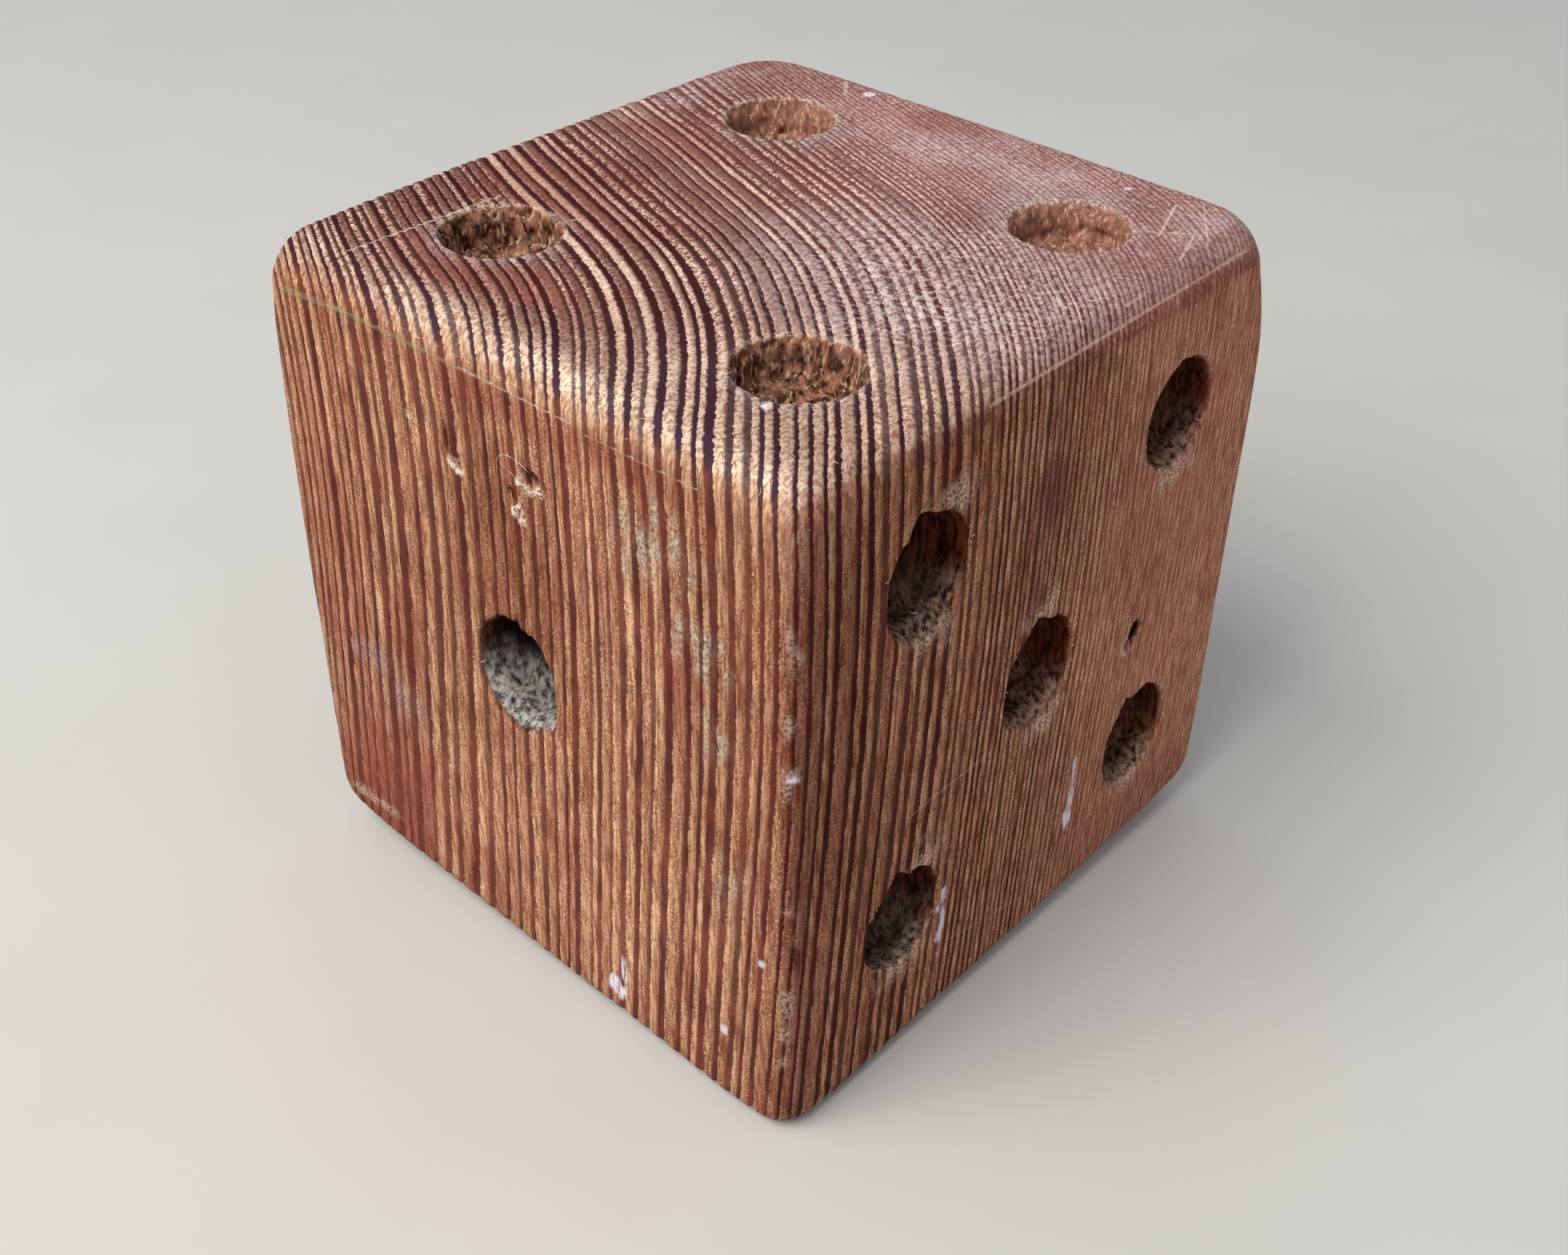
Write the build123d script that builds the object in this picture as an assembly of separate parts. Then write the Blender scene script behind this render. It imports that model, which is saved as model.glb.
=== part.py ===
from build123d import *
import math
import os

# A large die cut from one block of old softwood, with the grain along Z.
# Origin: middle of the face it rests on. Units: millimetres.

NODE = "die_block"

# Block
WIDTH_X = 89.0
DEPTH_Y = 86.7
HEIGHT_Z = 91.2

# Worn edges and corners. The sphere is centred in the block and only reaches its corners.
TOP_EDGE_RADIUS = 5.0
UPRIGHT_EDGE_RADIUS = 3.5
BOTTOM_EDGE_RADIUS = 4.5
CORNER_SPHERE_RADIUS = 71.5

# Pips: blind holes from one drill bit, each with the shallow cone that its point leaves
PIP_DIAMETER = 13.7
PIP_WALL_DEPTH = 4.6
PIP_CONE_ANGLE = 140.0

# The outer pips stand this far from the middle of their layout,
# which on the upright faces is a little above mid-height
PIP_STEP = 24.6
PIP_CENTRE_Z = 47.2

# An old nail hole in the face that shows five pips
NAIL_DIAMETER = 3.6
NAIL_DEPTH = 8.0
NAIL_CONE_ANGLE = 60.0
NAIL_X = 21.8
NAIL_Z = 41.1

# How far the drill wandered from each mark of a face, along the face's own two directions
WANDER = {
    1: [(-0.7, 0.9)],
    2: [(0.6, -0.5), (-0.8, 0.4)],
    3: [(0.5, 0.3), (-0.6, 0.8), (0.4, -0.4)],
    4: [(0.1, -0.9), (0.5, -1.9), (0.7, -2.3), (-0.5, -0.5)],
    5: [(0.9, -0.1), (0.1, 0.6), (1.6, 0.9), (0.9, -0.1), (0.4, -0.5)],
    6: [(0.3, 0.6), (-0.7, 0.2), (-0.4, -0.6), (0.8, 0.5), (0.2, -0.3), (-0.5, 0.4)],
}

# Marks of the pips, in steps from the middle of a face
DIAGONAL = [(-1, -1), (1, 1)]
CROSSING = [(-1, 1), (1, -1)]
MIDDLE = [(0, 0)]
SIDES = [(-1, 0), (1, 0)]
LAYOUTS = {
    1: MIDDLE,
    2: DIAGONAL,
    3: DIAGONAL + MIDDLE,
    4: DIAGONAL + CROSSING,
    5: DIAGONAL + CROSSING + MIDDLE,
    6: DIAGONAL + CROSSING + SIDES,
}


def rounded_block():
    """The squared block with its edges eased and its eight corners worn rounder still."""
    block = Box(WIDTH_X, DEPTH_Y, HEIGHT_Z, align=(Align.CENTER, Align.CENTER, Align.MIN))
    block = fillet(block.edges().filter_by(Axis.Z), UPRIGHT_EDGE_RADIUS)
    block = fillet(block.faces().sort_by(Axis.Z)[-1].edges(), TOP_EDGE_RADIUS)
    block = fillet(block.faces().sort_by(Axis.Z)[0].edges(), BOTTOM_EDGE_RADIUS)
    return block & Pos(0, 0, HEIGHT_Z / 2) * Sphere(CORNER_SPHERE_RADIUS)


def face_planes():
    """The plane of each numbered face, with its normal outwards. Opposite faces add up to seven."""
    half_x = WIDTH_X / 2
    half_y = DEPTH_Y / 2
    return {
        1: Plane((-half_x, 0, PIP_CENTRE_Z), x_dir=(0, -1, 0), z_dir=(-1, 0, 0)),
        2: Plane((0, half_y, PIP_CENTRE_Z), x_dir=(-1, 0, 0), z_dir=(0, 1, 0)),
        3: Plane((0, 0, 0), x_dir=(1, 0, 0), z_dir=(0, 0, -1)),
        4: Plane((0, 0, HEIGHT_Z), x_dir=(1, 0, 0), z_dir=(0, 0, 1)),
        5: Plane((0, -half_y, PIP_CENTRE_Z), x_dir=(1, 0, 0), z_dir=(0, -1, 0)),
        6: Plane((half_x, 0, PIP_CENTRE_Z), x_dir=(0, 1, 0), z_dir=(1, 0, 0)),
    }


def pip_centres(number):
    """Centres of a face's pips, in millimetres from the middle of its layout."""
    return [
        (PIP_STEP * u + off_u, PIP_STEP * v + off_v)
        for (u, v), (off_u, off_v) in zip(LAYOUTS[number], WANDER[number])
    ]


def drilled_hole(diameter, wall_depth, cone_angle):
    """What a drill takes out: a straight wall below Z = 0, then the cone of its point."""
    radius = diameter / 2
    cone_depth = radius / math.tan(math.radians(cone_angle / 2))
    above = 1.0
    outline = Polyline(
        (0, 0, above),
        (radius, 0, above),
        (radius, 0, -wall_depth),
        (0, 0, -wall_depth - cone_depth),
        close=True,
    )
    return revolve(make_face(outline), Axis.Z)


def pips():
    """All 21 pips, each set into its face."""
    pip = drilled_hole(PIP_DIAMETER, PIP_WALL_DEPTH, PIP_CONE_ANGLE)
    return [
        plane * Pos(u, v, 0) * pip
        for number, plane in face_planes().items()
        for u, v in pip_centres(number)
    ]


def nail_hole():
    """The old nail hole, beside the five."""
    mouth = Plane((NAIL_X, -DEPTH_Y / 2, NAIL_Z), x_dir=(1, 0, 0), z_dir=(0, -1, 0))
    return mouth * drilled_hole(NAIL_DIAMETER, NAIL_DEPTH, NAIL_CONE_ANGLE)


def die_block():
    """The whole die: one piece of wood with its holes."""
    block = rounded_block()
    for pip in pips():
        block = block - pip
    return block - nail_hole()


os.makedirs("parts", exist_ok=True)
export_step(die_block(), f"parts/{NODE}.step")
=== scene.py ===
import itertools
import math

import bpy
import numpy as np
from mathutils import Matrix, Vector


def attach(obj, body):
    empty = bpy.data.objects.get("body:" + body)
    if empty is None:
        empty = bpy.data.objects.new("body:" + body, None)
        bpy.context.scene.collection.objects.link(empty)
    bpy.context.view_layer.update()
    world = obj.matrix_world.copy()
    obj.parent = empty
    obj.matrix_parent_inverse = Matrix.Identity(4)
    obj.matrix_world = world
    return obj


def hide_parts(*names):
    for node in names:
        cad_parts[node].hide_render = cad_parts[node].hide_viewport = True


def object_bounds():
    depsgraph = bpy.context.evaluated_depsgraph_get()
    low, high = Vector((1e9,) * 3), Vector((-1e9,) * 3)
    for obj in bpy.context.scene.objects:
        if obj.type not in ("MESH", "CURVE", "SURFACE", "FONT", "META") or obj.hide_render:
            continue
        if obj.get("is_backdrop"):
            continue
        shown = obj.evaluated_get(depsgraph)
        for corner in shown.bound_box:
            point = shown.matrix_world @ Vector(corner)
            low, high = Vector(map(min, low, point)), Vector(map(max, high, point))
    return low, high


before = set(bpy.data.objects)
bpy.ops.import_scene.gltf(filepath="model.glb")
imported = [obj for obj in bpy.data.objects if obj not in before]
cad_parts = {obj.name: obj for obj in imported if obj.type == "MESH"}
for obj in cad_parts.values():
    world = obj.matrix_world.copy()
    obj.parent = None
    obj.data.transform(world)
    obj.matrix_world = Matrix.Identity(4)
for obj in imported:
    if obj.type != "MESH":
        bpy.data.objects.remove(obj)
lo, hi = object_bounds()

# A large die of old softwood. Lengths below are in millimetres unless they say otherwise.
MM = 0.001
HALF_X = (hi[0] - lo[0]) / 2 / MM
HALF_Y = (hi[1] - lo[1]) / 2 / MM
HEIGHT = (hi[2] - lo[2]) / MM
HALF_Z = HEIGHT / 2
WIDTH = 2 * HALF_X

# Spacing of the mesh along X, Y and Z, coarser along the grain
STEP = (0.36, 0.36, 0.5)

# Rounding of the upright edges: at mid height, more towards the top and the bottom, and
# more again at the top of three corners
UPRIGHT_ROUND, UPRIGHT_TOP, UPRIGHT_BOTTOM = 2.6, 3.2, 1.6
UPRIGHT_FAR, UPRIGHT_LEFT, UPRIGHT_BACK = 4.5, 0.8, 3
# Rounding of the edges round the top and the bottom: its usual size, less on the far side
# of the top, more at every corner and at two bottom corners, and less at the near one
TOP_ROUND, TOP_AWAY_LESS, BOTTOM_ROUND = 4.2, 0.9, 3.6
CORNER_MORE, LOW_CORNER_MORE = 3.5, 6
NEAR_TOP_LESS, NEAR_BOTTOM_LESS = 1.4, 2.0

# Pips, as drilled in the CAD block. WANDER says how far each sits from the exact layout.
PIP_RADIUS = 13.7 / 2
PIP_WALL = 4.6
PIP_CONE_SLOPE = math.tan(math.radians(20))
PIP_STEP = 24.6
PIP_CENTRE_Z = 47.2
DIAGONAL = [(-1, -1), (1, 1)]
CROSSING = [(-1, 1), (1, -1)]
MIDDLE = [(0, 0)]
SIDES = [(-1, 0), (1, 0)]
WANDER = {
    1: [(-0.7, 0.9)],
    2: [(0.6, -0.5), (-0.8, 0.4)],
    3: [(0.5, 0.3), (-0.6, 0.8), (0.4, -0.4)],
    4: [(0.1, -0.9), (0.5, -1.9), (0.7, -2.3), (-0.5, -0.5)],
    5: [(0.9, -0.1), (0.1, 0.6), (1.6, 0.9), (0.9, -0.1), (0.4, -0.5)],
    6: [(0.3, 0.6), (-0.7, 0.2), (-0.4, -0.6), (0.8, 0.5), (0.2, -0.3), (-0.5, 0.4)],
}
LAYOUTS = {
    1: MIDDLE,
    2: DIAGONAL,
    3: DIAGONAL + MIDDLE,
    4: DIAGONAL + CROSSING,
    5: DIAGONAL + CROSSING + MIDDLE,
    6: DIAGONAL + CROSSING + SIDES,
}
# Each face: middle, first direction along it, second direction along it, outward direction
FACES = {
    1: ((-HALF_X, 0, PIP_CENTRE_Z), (0, -1, 0), (0, 0, 1), (-1, 0, 0)),
    2: ((0, HALF_Y, PIP_CENTRE_Z), (-1, 0, 0), (0, 0, 1), (0, 1, 0)),
    3: ((0, 0, 0), (1, 0, 0), (0, -1, 0), (0, 0, -1)),
    4: ((0, 0, HEIGHT), (1, 0, 0), (0, 1, 0), (0, 0, 1)),
    5: ((0, -HALF_Y, PIP_CENTRE_Z), (1, 0, 0), (0, 0, 1), (0, -1, 0)),
    6: ((HALF_X, 0, PIP_CENTRE_Z), (0, 1, 0), (0, 0, 1), (1, 0, 0)),
}
NAIL_X, NAIL_Z, NAIL_RADIUS, NAIL_DEPTH = 21.8, 41.1, 1.8, 8.0

# Long fibres curling over the gouges: out from the face, along Y and up
LOOPS = [
    [(0.3, 0.6, 75.6), (-0.4, 1.4, 78.6), (-0.5, -1.4, 80.6), (-0.5, -3.6, 79.4), (0.3, -4.6, 78.0)],
    [(0.3, -0.6, 76.8), (-0.5, -2.6, 77.8), (-0.5, -4.6, 75.6), (0.3, -6.6, 76.8)],
    [(0.3, 9.4, 75.2), (-0.5, 9.0, 73.8), (0.3, 7.4, 73.2)],
    [(0.3, 17.0, 78.2), (-0.4, 15.6, 76.4), (0.3, 13.4, 76.6)],
    [(0.3, -1.0, 74.6), (-0.5, -2.0, 72.6), (0.3, -3.6, 71.4)],
]
THREAD_RADIUS = 0.045

# Fuzzy places on the rims of the pips on the -Y face, along X and up
RIMS = [
    (-22, 64.6),
    (-24, 15.0),
    (2, 38.3),
    (25.5, 64.2),
    (26, 14.0),
    (-19.5, 80.5),
    (0.5, 55.5),
    (-20, 30.5),
]

# Gouges on the -X face: place along Y and up, half width, half height and depth
HOLLOWS = [
    (9.8, 76.8, 0.6, 2.3, 1.1),
    (-4.4, 77.7, 1.9, 0.8, 1.1),
    (-1.2, 74.3, 0.6, 0.7, 0.9),
]
# Raised fibres below them: place along Y and up, half width and half height
TUFTS = [
    (8.6, 73.9, 0.8, 0.6),
    (7.5, 73.2, 0.7, 0.45),
    (-3.0, 76.3, 0.8, 0.5),
    (-4.5, 75.9, 0.9, 0.5),
    (-6.0, 76.4, 0.6, 0.6),
    (-2.0, 72.2, 0.8, 0.9),
    (-2.9, 71.3, 0.6, 0.6),
    (15.6, 77.0, 0.9, 0.35),
]


def lattice(cell, seed):
    """A repeatable random number from 0 to 1 for each whole-numbered place, made by mixing
    its bits with large odd numbers."""
    h = cell[:, 0].astype(np.uint32) * np.uint32(374761393)
    h += cell[:, 1].astype(np.uint32) * np.uint32(668265263)
    h += cell[:, 2].astype(np.uint32) * np.uint32(2246822519)
    h += np.uint32((seed * 3266489917) & 0xFFFFFFFF)
    h = (h ^ (h >> np.uint32(15))) * np.uint32(2246822519)
    h = (h ^ (h >> np.uint32(13))) * np.uint32(3266489917)
    h ^= h >> np.uint32(16)
    return h.astype(np.float32) * np.float32(1 / 4294967295)


def noise(p, size, seed):
    """Smooth noise from -1 to 1 whose grains are as large as size, one number or three."""
    q = p / np.asarray(size, np.float32)
    cell = np.floor(q).astype(np.int64)
    f = (q - cell).astype(np.float32)
    f = f * f * (3 - 2 * f)
    total = np.zeros(len(p), np.float32)
    for corner in itertools.product((0, 1), repeat=3):
        w = np.ones(len(p), np.float32)
        for k, c in enumerate(corner):
            w *= f[:, k] if c else 1 - f[:, k]
        total += w * lattice(cell + np.array(corner), seed)
    return 2 * total - 1


def step_up(low, high, v):
    """0 at low and before it, 1 at high and past it, smooth between. High may be the smaller."""
    t = np.clip((v - low) / (high - low), 0, 1)
    return t * t * (3 - 2 * t)


def soft_max(a, b, k):
    """The larger of a and b, rounded over where they are within k of each other."""
    h = np.clip(0.5 + 0.5 * (a - b) / k, 0, 1)
    return b + (a - b) * h + k * h * (1 - h)


def blob(p, centre, radius):
    """1 at centre, falling smoothly to 0 at radius, which is one number or three."""
    q = (p - np.asarray(centre, np.float32)) / np.asarray(radius, np.float32)
    return np.clip(1 - np.einsum("ij,ij->i", q, q), 0, 1) ** 2


def age(p):
    """How far out from the pith side a point lies, in widths of the block."""
    x = p[:, 0] / WIDTH
    y = p[:, 1] / WIDTH
    z = (p[:, 2] - HALF_Z) / WIDTH
    bend = 0.08 * np.logaddexp(0, (-0.02 - 0.54 * x - y) / 0.08)
    spread = np.maximum(0, y - 0.5 * x - 0.4)
    s = x - 0.36 * y + 0.5 * (bend - 0.2 * (1 - np.exp(-bend / 0.2))) - 0.5 * spread**2
    return s - 0.05 * z + 0.1 * np.maximum(0, z) ** 2


def ring_count(p):
    """Growth rings counted outward from the pith side, at -X. Whole numbers fall where
    one year's dark late wood stops and the next year's pale early wood starts."""
    s = age(p) + 0.003 * noise(p, (13, 13, 45), 1) + 0.0011 * noise(p, (4, 4, 24), 2)
    n = 48 * s - 0.64 * np.logaddexp(0, (-0.56 - s) / 0.02)
    n += 0.58 * np.tanh((s + 0.33) / 0.045) + 2.7 * np.logaddexp(0, (s - 0.2) / 0.045)
    return n + 0.11 * np.sin(1.7 * n + 1.3) + 0.06 * np.sin(3.1 * n) + 0.3 * np.sin(0.31 * n + 0.4)


def ring_spacing(p):
    """Rough distance between rings."""
    s = age(p)
    inner = 32 / (1 + np.exp((s + 0.56) / 0.02))
    outer = 60 / (1 + np.exp(-(s - 0.2) / 0.045))
    return WIDTH / (48 + inner + outer)


def ring_strength(n):
    """How marked each ring's late wood is, from 0.6 to 1."""
    cell = np.stack([np.floor(n)] * 3, 1).astype(np.int64)
    return 0.6 + 0.4 * lattice(cell, 5)


def pip_frames():
    """Centre on the face and the face's directions for every pip."""
    found = []
    for number, (middle, across, up, out) in FACES.items():
        middle, across, up, out = (np.array(v, np.float32) for v in (middle, across, up, out))
        for (i, j), (di, dj) in zip(LAYOUTS[number], WANDER[number]):
            centre = middle + across * (i * PIP_STEP + di) + up * (j * PIP_STEP + dj)
            found.append((number, centre, across, up, out))
    return found


PIPS = pip_frames()
# How far each pip's rim is torn along the grain: where its longest split runs up, how far,
# how wide it is, and how far the rim is torn elsewhere above and below
TEARS = {
    0: (0.9, 1.6, 0.7, 1.0, 1.7),
    10: (-1.3, 2.0, 1.8, 0.6, 0.3),
    11: (-1.0, 0.2, 1.5, 0.5, 1.0),
    12: (-1.6, 2.4, 2.4, 0.7, 1.7),
    13: (-3.4, 1.2, 1.2, 0.6, 1.3),
    14: (-1.4, 2.0, 2.2, 0.7, 1.5),
}
EVEN_TEAR = (-1.0, 1.2, 1.8, 0.8, 1.2)


def pip_places(p, reach=16.0):
    """For every pip: which points are near it, and their place across, up and out from it."""
    for k, (number, centre, across, up, out) in enumerate(PIPS):
        d = p - centre
        near = np.nonzero(np.einsum("ij,ij->i", d, d) < reach**2)[0]
        if len(near):
            d = d[near]
            yield k, number, near, d @ across, d @ up, d @ out


def torn_rim(k, number, u, v, out):
    """How much further the rim is torn along the grain: jagged above, more even below."""
    if number in (3, 4):
        return np.zeros_like(u)
    place, length, width, above, under = TEARS.get(k, EVEN_TEAR)
    q = np.stack([u, np.where(v > 0, 5.0, -5.0) + 20 * k, np.full_like(u, 3.0)], 1)
    teeth = 1 + 0.5 * noise(q, (1.9, 1, 1), 11) + 0.3 * noise(q, (0.7, 1, 1), 12)
    long = np.where(v > 0, above, under) * np.clip(teeth, 0, 1.6)
    long += np.where(v > 0, length, 0) * np.clip(1 - np.abs(u - place) / width, 0, 1) ** 0.8
    deep = np.where(v > 0, 1.8, 2.6)
    return long * np.clip(1 + out / deep, 0, 1)


def block(p):
    """Distance to the worn block without pips, negative inside. The near corner is at -X
    -Y, the left one at -X +Y, the far one at +X -Y and the back one at +X +Y."""
    x, y, z = p[:, 0], p[:, 1], p[:, 2]
    zc = z - HALF_Z
    end = np.clip(np.abs(zc) / HALF_Z, 0, 1)
    high = step_up(15, 45, zc)
    far_corner = step_up(10, 44, x) * step_up(10, 43, -y) * high**3
    left_corner = step_up(10, 44, -x) * step_up(10, 43, y) * high
    back_corner = step_up(10, 44, x) * step_up(10, 43, y) * high
    low = step_up(15, 45, -zc) * np.clip(np.abs(x - y) / WIDTH - 0.4, 0, 0.5)
    upright = UPRIGHT_ROUND + np.where(zc > 0, UPRIGHT_TOP, UPRIGHT_BOTTOM) * end**6
    upright += UPRIGHT_FAR * far_corner + UPRIGHT_LEFT * left_corner + UPRIGHT_BACK * back_corner
    qx = np.abs(x) - HALF_X + upright
    qy = np.abs(y) - HALF_Y + upright
    plan = np.hypot(np.maximum(qx, 0), np.maximum(qy, 0)) + np.minimum(np.maximum(qx, qy), 0)
    plan = plan - upright
    corner = np.clip(np.abs(x) / HALF_X, 0, 1) ** 8 * np.clip(np.abs(y) / HALF_Y, 0, 1) ** 8
    near_corner = step_up(10, 44, -x) * step_up(10, 43, -y)
    away = np.clip(np.maximum(x / HALF_X, y / HALF_Y), 0, 1) ** 4
    edge = np.where(zc > 0, TOP_ROUND - TOP_AWAY_LESS * away, BOTTOM_ROUND)
    edge = edge + CORNER_MORE * corner + LOW_CORNER_MORE * low + left_corner
    edge -= np.where(zc > 0, NEAR_TOP_LESS, NEAR_BOTTOM_LESS) * near_corner
    qp = plan + edge
    qz = np.abs(zc) - HALF_Z + edge
    return np.hypot(np.maximum(qp, 0), np.maximum(qz, 0)) + np.minimum(np.maximum(qp, qz), 0) - edge


def towards_right(p):
    """Place across the grain, in widths of the block, with a ragged border."""
    return p[:, 0] / WIDTH - 0.2 * p[:, 1] / WIDTH + 0.05 * noise(p, 14, 21)


def smoothness(p):
    """1 where the wood is worn or stained smooth: towards +X, and in a few patches."""
    right = step_up(0.11, 0.38, towards_right(p))
    low_left = blob(p, (-HALF_X, 30, 12), (12, 17, 22))
    return np.clip(right + 0.9 * low_left, 0, 1)


def relief(p):
    """How far the weathered surface lies below the sawn one."""
    n = ring_count(p)
    phase = n - np.floor(n)
    groove = step_up(0.4, 0.86, phase) * (1 - step_up(0.93, 1.02, phase))
    top = step_up(0.8, 0.97, np.abs(p[:, 2] - HALF_Z) / HALF_Z)
    high = ring_spacing(p) * (0.05 + 0.07 * top) * (1 - 0.85 * step_up(-0.02, 0.32, towards_right(p)))
    fibres = 0.03 * noise(p, (0.8, 0.8, 9), 31)
    fibres = fibres + noise(p, (0.75, 0.75, 1.0), 32) * (0.02 + 0.025 * top)
    wave = 0.10 + 0.07 * noise(p, 22, 33)
    return wave + high * groove * ring_strength(n) + fibres


def nicks(p, f):
    """Small gouges high on the -X face, each with a lump of raised fibres under it."""
    beside = (np.abs(p[:, 1] - 2) < 14) & (np.abs(p[:, 2] - 75) < 8)
    near = np.nonzero((p[:, 0] < -HALF_X + 2.5) & beside)[0]
    if len(near):
        q = p[near] - np.array([-HALF_X, 0, 0], np.float32)
        value = f[near]
        for y, z, wide, high, deep in HOLLOWS:
            r = np.linalg.norm((q - np.array([0, y, z])) / np.array([deep, wide, high]), axis=1)
            value = soft_max(value, (1 - r) * min(wide, high), 0.15)
        for y, z, wide, high in TUFTS:
            r = np.linalg.norm((q - np.array([0.15, y, z])) / np.array([0.45, wide, high]), axis=1)
            lump = (r - 1) * 0.4 + 0.12 * noise(p[near], 0.6, 95)
            value = -soft_max(-value, -lump, 0.1)
        f[near] = value
    return f


def drill(p, f):
    """Takes the pips and the nail hole out of the shape."""
    for k, number, near, u, v, out in pip_places(p):
        q = p[near]
        bite = torn_rim(k, number, u, v, out)
        r = np.hypot(u, np.maximum(np.abs(v) - bite, 0))
        if number in (3, 4):
            along = np.stack([0.87 * q[:, 0] - 0.5 * q[:, 1], 0.5 * q[:, 0] + 0.87 * q[:, 1], q[:, 2]], 1)
            tear = 0.7 * noise(along, (1.0, 4.0, 1.2), 40 + k) + 0.45 * noise(q, (1.3, 1.3, 1.3), 60 + k)
        else:
            low = step_up(3, -4, v)
            tear = 0.25 * noise(q, (0.9, 0.9, 5), 40 + k) + 0.45 * low * noise(q, (1.2, 1.2, 1.4), 60 + k)
        tear += 0.35 * noise(q, 2.4, 80 + k)
        rough, flare = 0.35, 0.0
        if number in (3, 4):
            tear += 0.5 * noise(q, (0.9, 0.9, 1.8), 20 + k)
            rough, flare = 0.5, (0.6 + 0.2 * noise(q, 1.5, 22)) * step_up(-2.2, -0.2, out)
        floor = -(PIP_WALL + (PIP_RADIUS - r) * PIP_CONE_SLOPE) + tear
        wall = r - PIP_RADIUS - flare + rough * tear * np.clip(-out, 0, 1)
        hole = soft_max(wall, floor - out, 0.5)
        f[near] = soft_max(f[near], -hole, 0.2)
    u = p[:, 0] - NAIL_X
    v = p[:, 2] - NAIL_Z
    depth = p[:, 1] + HALF_Y
    near = np.nonzero((np.hypot(u, v) < 6) & (depth < NAIL_DEPTH + 3))[0]
    if len(near):
        q = p[near]
        r = np.hypot(u[near] - 0.2, 0.9 * v[near] - 0.2) + 0.15 * noise(q, 1.1, 91)
        hole = np.maximum(r - 0.82 * NAIL_RADIUS, depth[near] - NAIL_DEPTH + 1.2 * r)
        chip = (np.hypot((u[near] + 1.1) / 1.2, (v[near] + 1.5) / 1.3) - 1) * 1.2 + 0.9 * depth[near]
        hole = np.minimum(hole, chip)
        f[near] = soft_max(f[near], -hole, 0.2)
    return nicks(p, f)


def die(p):
    """The finished shape: negative inside the wood."""
    return drill(p, block(p) + relief(p))


# How near the plain block's surface, and how near each pip, the exact shape is worked out
BAND = 1.6
HOLE_REACH = 12


def banded_field():
    """The shape sampled on a grid, exactly near the surface and roughly elsewhere."""
    step = np.array(STEP, np.float32)
    low = np.array([-HALF_X, -HALF_Y, 0], np.float32) - 2.5 * step
    counts = np.ceil((np.array([2 * HALF_X, 2 * HALF_Y, HEIGHT]) + 5 * step) / step).astype(int) + 1
    axes = [low[k] + step[k] * np.arange(counts[k], dtype=np.float32) for k in range(3)]
    field = np.empty(counts, np.float32)
    for i, x in enumerate(axes[0]):
        yy, zz = np.meshgrid(axes[1], axes[2], indexing="ij")
        slab = np.stack([np.full(yy.size, x, np.float32), yy.ravel(), zz.ravel()], 1)
        field[i] = block(slab).reshape(yy.shape)
    boxes = [(centre - HOLE_REACH, centre + HOLE_REACH) for number, centre, across, up, out in PIPS]
    nail_start = np.array([NAIL_X - 5, -HALF_Y - 1, NAIL_Z - 5])
    nail_stop = np.array([NAIL_X + 5, -HALF_Y + NAIL_DEPTH + 3, NAIL_Z + 5])
    holes = np.zeros(counts, bool)
    for start, stop in boxes + [(nail_start, nail_stop)]:
        a = np.maximum(np.floor((start - low) / step).astype(int), 0)
        b = np.minimum(np.ceil((stop - low) / step).astype(int), counts)
        holes[a[0] : b[0], a[1] : b[1], a[2] : b[2]] = True
    near = np.nonzero((np.abs(field) < BAND) | (holes & (field < BAND)))
    p = np.stack([axes[k][near[k]] for k in range(3)], 1)
    field[near] = die(p)
    return field, low, step


def surface_net(field, low, step):
    """Points and four-sided faces of the surface where field is zero."""
    inside = field < 0
    count = np.zeros([n - 1 for n in field.shape], np.uint8)
    corners = list(itertools.product((0, 1), repeat=3))
    for c in corners:
        count += inside[tuple(slice(k, k + n - 1) for k, n in zip(c, field.shape))]
    active = (count > 0) & (count < 8)
    cells = np.argwhere(active)
    index = np.full(active.shape, -1, np.int64)
    index[active] = np.arange(len(cells))
    value = {c: field[tuple((cells + c).T)] for c in corners}
    total = np.zeros((len(cells), 3), np.float32)
    hits = np.zeros(len(cells), np.float32)
    for a in corners:
        for axis in range(3):
            if a[axis]:
                continue
            b = tuple(1 if k == axis else a[k] for k in range(3))
            cut = (value[a] < 0) != (value[b] < 0)
            share = value[a] / np.where(cut, value[a] - value[b], 1)
            place = np.array(a, np.float32) + np.zeros_like(total)
            place[:, axis] += share
            total += place * cut[:, None]
            hits += cut
    points = low + (cells + total / hits[:, None]) * step
    faces = []
    for axis in range(3):
        first = [slice(None)] * 3
        second = [slice(None)] * 3
        first[axis] = slice(0, -1)
        second[axis] = slice(1, None)
        here, there = inside[tuple(first)], inside[tuple(second)]
        e = np.argwhere(here != there)
        i, j = (axis + 1) % 3, (axis + 2) % 3
        quad = []
        for di, dj in ((0, 0), (-1, 0), (-1, -1), (0, -1)):
            c = e.copy()
            c[:, i] += di
            c[:, j] += dj
            quad.append(index[tuple(c.T)])
        quad = np.stack(quad, 1)
        turned = ~here[tuple(e.T)]
        quad[turned] = quad[turned][:, ::-1]
        faces.append(quad)
    return points.astype(np.float32), np.concatenate(faces)


def slope(p, f, h=0.08):
    """Direction in which the shape's value grows fastest, and how fast."""
    g = np.empty_like(p)
    for k in range(3):
        q = p.copy()
        q[:, k] += h
        g[:, k] = (die(q) - f) / h
    return g


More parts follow.
